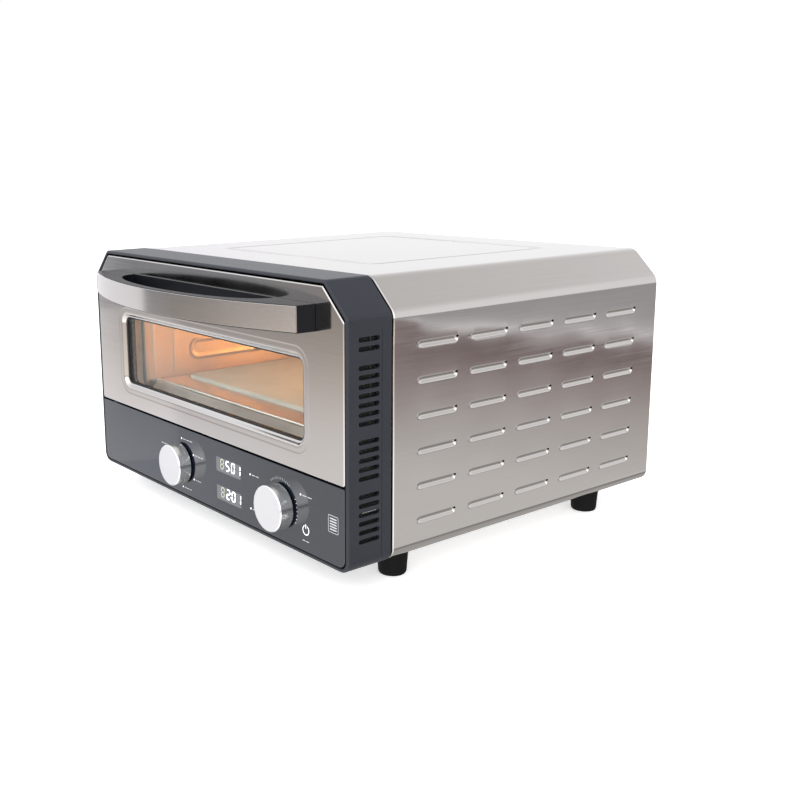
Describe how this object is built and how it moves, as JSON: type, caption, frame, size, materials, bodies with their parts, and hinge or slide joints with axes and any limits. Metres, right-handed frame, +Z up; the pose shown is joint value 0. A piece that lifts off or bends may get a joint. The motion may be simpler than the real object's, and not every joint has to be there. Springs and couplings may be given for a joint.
{
  "type": "countertop pizza oven",
  "caption": "Low steel countertop pizza oven with a drop-down glass door, bowed bar handle, stone deck, two dials and louvred sides.",
  "frame": {"origin": "under the middle of the whole oven, on the surface that it stands on", "axes": "+Z up; the door and dials face -Y; +X is to the right seen from the front"},
  "size_m": [0.46, 0.4946, 0.2795],
  "materials": {
    "charcoal_plastic": "satin, fine moulded texture",
    "fascia": "semi-gloss",
    "brushed_steel": "brushed stainless steel",
    "inner_steel": "bright sheet steel",
    "zinc_steel": "zinc plated sheet",
    "rubber": "matt black rubber",
    "black_plastic": "matt black",
    "glass": "clear",
    "spun_aluminium": "spun face, polished side",
    "stone": "fired cordierite, matt",
    "insulation_wool": "glass wool",
    "heating_element": "oxidised steel tube",
    "circuit_board": "solder mask",
    "ceramic": "glazed ceramic"
  },
  "bodies": {
    "oven": {"base_pan": "zinc_steel", "body_wrap": "brushed_steel", "cavity_liner": "inner_steel", "cavity_support_left": "zinc_steel", "cavity_support_right": "zinc_steel", "control_board": "circuit_board", "control_fascia": "fascia", "cord_gland": "black_plastic", "fan_frame": "black_plastic", "foot_front_left": "rubber", "foot_front_right": "rubber", "foot_rear_left": "rubber", "foot_rear_right": "rubber", "front_bezel": "charcoal_plastic", "front_frame": "inner_steel", "function_encoder": "zinc_steel", "heat_sink": "spun_aluminium", "hinge_bracket_left": "zinc_steel", "hinge_bracket_right": "zinc_steel", "hinge_pin_left": "zinc_steel", "hinge_pin_right": "zinc_steel", "hinge_spring_left": "zinc_steel", "hinge_spring_right": "zinc_steel", "insulation_blanket": "insulation_wool", "insulation_floor": "insulation_wool", "lamp_bulb": "glass", "lamp_lens": "glass", "lamp_socket": "ceramic", "lower_heater": "heating_element", "lower_heater_bracket": "inner_steel", "panel_carrier": "black_plastic", "pizza_stone": "stone", "power_board": "circuit_board", "rear_panel": "zinc_steel", "setting_encoder": "zinc_steel", "stone_tray": "inner_steel", "temperature_display": "black_plastic", "temperature_probe": "inner_steel", "thermal_cutout": "black_plastic", "timer_display": "black_plastic", "tray_rail_left": "inner_steel", "tray_rail_right": "inner_steel", "upper_heater": "heating_element", "upper_heater_bracket": "inner_steel"},
    "door": {"door_skin": "brushed_steel", "door_inner_pan": "inner_steel", "door_glass_outer": "glass", "door_glass_inner": "glass", "glass_spacer": "rubber", "door_gasket": "rubber", "handle_body": "charcoal_plastic", "handle_face": "brushed_steel", "door_hinge_arm_left": "zinc_steel", "door_hinge_arm_right": "zinc_steel"},
    "function_dial": {"function_knob": "spun_aluminium", "function_shaft": "zinc_steel"},
    "push_switch": {"setting_plunger": "black_plastic"},
    "setting_dial": {"setting_knob": "spun_aluminium", "setting_shaft": "zinc_steel"},
    "fan_rotor": {"fan_rotor": "black_plastic"}
  },
  "joints": [
    {"name": "door_hinge", "type": "hinge", "parent": "oven", "child": "door", "pos_m": [0, -0.18565, 0.116], "axis": [1, 0, 0], "range_deg": [0, 90]},
    {"name": "function_dial_turn", "type": "hinge", "parent": "oven", "child": "function_dial", "pos_m": [-0.0454, -0.19115, 0.063], "axis": [0, 1, 0], "continuous": true},
    {"name": "push_switch_press", "type": "slide", "parent": "oven", "child": "push_switch", "axis": [0, 1, 0], "range_m": [0, 0.0012], "stiffness_N_per_m": 1500, "springref_m": -0.001},
    {"name": "setting_dial_turn", "type": "hinge", "parent": "push_switch", "child": "setting_dial", "pos_m": [0.133, -0.19115, 0.063], "axis": [0, 1, 0], "continuous": true},
    {"name": "fan_spin", "type": "hinge", "parent": "oven", "child": "fan_rotor", "pos_m": [-0.06, 0.22455, 0.0605], "axis": [0, 1, 0], "continuous": true}
  ]
}
